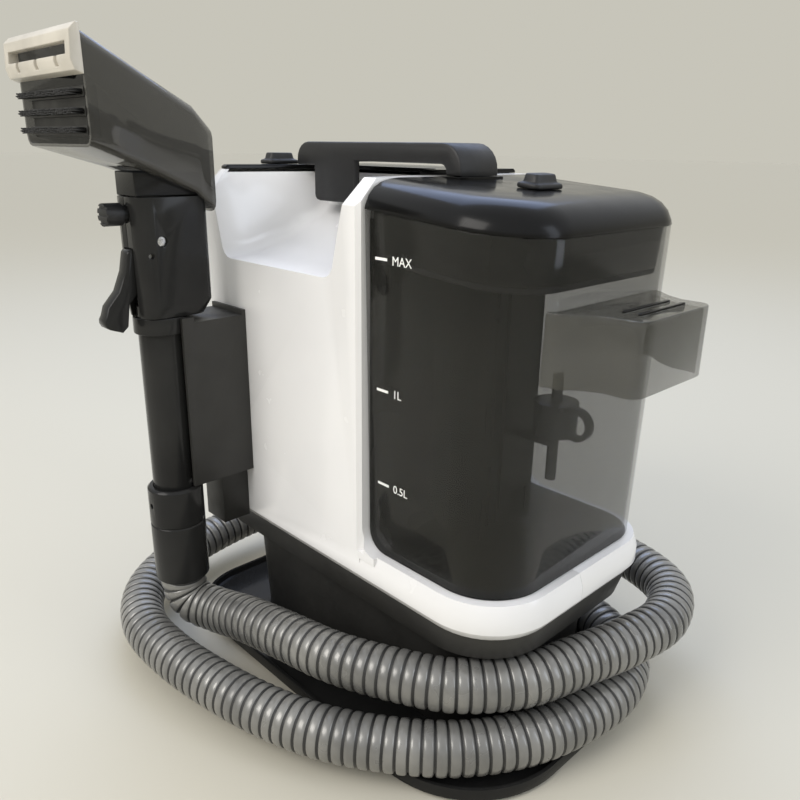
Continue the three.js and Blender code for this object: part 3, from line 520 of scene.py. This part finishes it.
# ---------------------------------------------------------------- small detail
# All in mm.
TANK_FACE = {"top": 386, "low": 141, "at_top": 91, "draft": 5}  # the tank's -Y face
LEVELS = [("MAX", 356.5), ("1L", 268.5), ("0.5L", 199)]
DASH = {"from": 37, "to": 48, "half": 0.9, "out": 0.25, "in": 0.1}
LETTERS = {"x": 52.5, "size": 8.2, "half": 0.12, "out": 0.13, "drop": 2.9}
BRISTLE_ROWS = [431, 442, 453]
TUFTS_PER_ROW = 21
TUFT_ROW_WIDTH = 90
STRANDS_PER_TUFT = 7
STRAND_SIDES = 6
STRAND_RADII = (0.62, 0.42)  # at the root and at the tip
TUFT_RADIUS = 1.15
TOOL_X = -135
MOUTH_Y = -216
GRIP_RIBS = (178, 188)  # where the two raised lines on the tank's grip start in X
GRIP_RIB = {"width": 2, "half": 26, "height": 1.3, "proud": 0.2}


def tank_face_y(z):
    drop = TANK_FACE["draft"] * (TANK_FACE["top"] - z) / (TANK_FACE["top"] - TANK_FACE["low"])
    return -(TANK_FACE["at_top"] - drop)


def block(low, high):
    """Vertices and faces of a box between two corners."""
    xs, ys, zs = zip(low, high)
    vertices = [(x, y, z) for x in xs for y in ys for z in zs]
    faces = [(0, 1, 3, 2), (4, 6, 7, 5), (0, 4, 5, 1), (2, 3, 7, 6), (0, 2, 6, 4), (1, 5, 7, 3)]
    return vertices, faces


def flat_shaded(mesh):
    mesh.polygons.foreach_set("use_smooth", [False] * len(mesh.polygons))
    return mesh


def level_mark(words, z):
    """A dash and plain level letters on the tank's -Y face."""
    y = tank_face_y(z)
    name = "level_" + words.replace(".", "_").lower()
    low = (DASH["from"] * MM, (y - DASH["out"]) * MM, (z - DASH["half"]) * MM)
    high = (DASH["to"] * MM, (y + DASH["in"]) * MM, (z + DASH["half"]) * MM)
    dash = flat_shaded(mesh_from(name + "_dash", *block(low, high)))
    add_object(name + "_dash", dash, "mark", "dirty_water_tank")
    curve = bpy.data.curves.new(name, "FONT")
    curve.body = words
    curve.size = LETTERS["size"] * MM
    curve.extrude = LETTERS["half"] * MM
    written = bpy.data.objects.new(name + "_source", curve)
    mesh = bpy.data.meshes.new_from_object(written)
    bpy.data.objects.remove(written)
    mesh.transform(Matrix.Rotation(math.radians(90), 4, "X"))
    corner = (LETTERS["x"] * MM, (y - LETTERS["out"]) * MM, (z - LETTERS["drop"]) * MM)
    mesh.transform(Matrix.Translation(corner))
    add_object(name, mesh, "mark", "dirty_water_tank")


def add_strand(root, tip, vertices, faces):
    """One tapered bristle from root to tip, added to a mesh's vertices and faces."""
    sides = STRAND_SIDES
    first = len(vertices)
    for centre, radius in zip((root, tip), STRAND_RADII):
        for k in range(sides):
            angle = 2 * math.pi * k / sides
            around = Vector((radius * math.cos(angle), 0, radius * math.sin(angle)))
            vertices.append((centre + around) * MM)
    for k in range(sides):
        after = (k + 1) % sides
        faces.append((first + k, first + sides + k, first + sides + after, first + after))
    faces.append(tuple(first + k for k in range(sides)))
    faces.append(tuple(first + 2 * sides - 1 - k for k in range(sides)))


def tuft_row(number, z):
    """One row of tufts. Each strand's lean and length vary a little, by fixed sines."""
    vertices = []
    faces = []
    y = MOUTH_Y + 0.7
    for tuft in range(TUFTS_PER_ROW):
        x = TOOL_X - TUFT_ROW_WIDTH / 2 + TUFT_ROW_WIDTH * tuft / (TUFTS_PER_ROW - 1)
        for strand in range(STRANDS_PER_TUFT):
            turn = 2.4 * strand + 0.9 * tuft
            reach = 0 if strand == 0 else TUFT_RADIUS
            spread = 1.35 + 0.12 * math.sin(3.1 * tuft + strand)
            length = 7.2 + 0.4 * math.sin(5.3 * strand + tuft)
            away = reach * Vector((math.cos(turn), 0, math.sin(turn)))
            root = Vector((x, y, z)) + away
            tip = Vector((x, y - length, z)) + spread * away
            add_strand(root, tip, vertices, faces)
    name = f"bristle_tufts_{number}"
    mesh = mesh_from(name, vertices, faces)
    made = add_object(name, mesh, "bristle", "nozzle_head")
    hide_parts(f"bristle_row_{number}")


def rib(name, low, high):
    """A thin dark raised line between two corners in mm, on the dirty tank."""
    mesh = flat_shaded(mesh_from(name, *block([MM * v for v in low], [MM * v for v in high])))
    made = add_object(name, mesh, "gloss", "dirty_water_tank")
    rounding = made.modifiers.new("edges", "BEVEL")
    rounding.width = 0.3 * MM
    rounding.segments = 2


# Dark caps over the two raised lines on top of the tank's grip.
grip_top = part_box("tank_grip")[1].z / MM
proud = GRIP_RIB["proud"]
half = GRIP_RIB["half"] + proud
for number, x in enumerate(GRIP_RIBS, start=1):
    low = (x - proud, -half, grip_top - GRIP_RIB["height"])
    high = (x + GRIP_RIB["width"] + proud, half, grip_top + proud)
    rib(f"grip_rib_{number}", low, high)

for words, height in LEVELS:
    level_mark(words, height)
for number, height in enumerate(BRISTLE_ROWS, start=1):
    tuft_row(number, height)
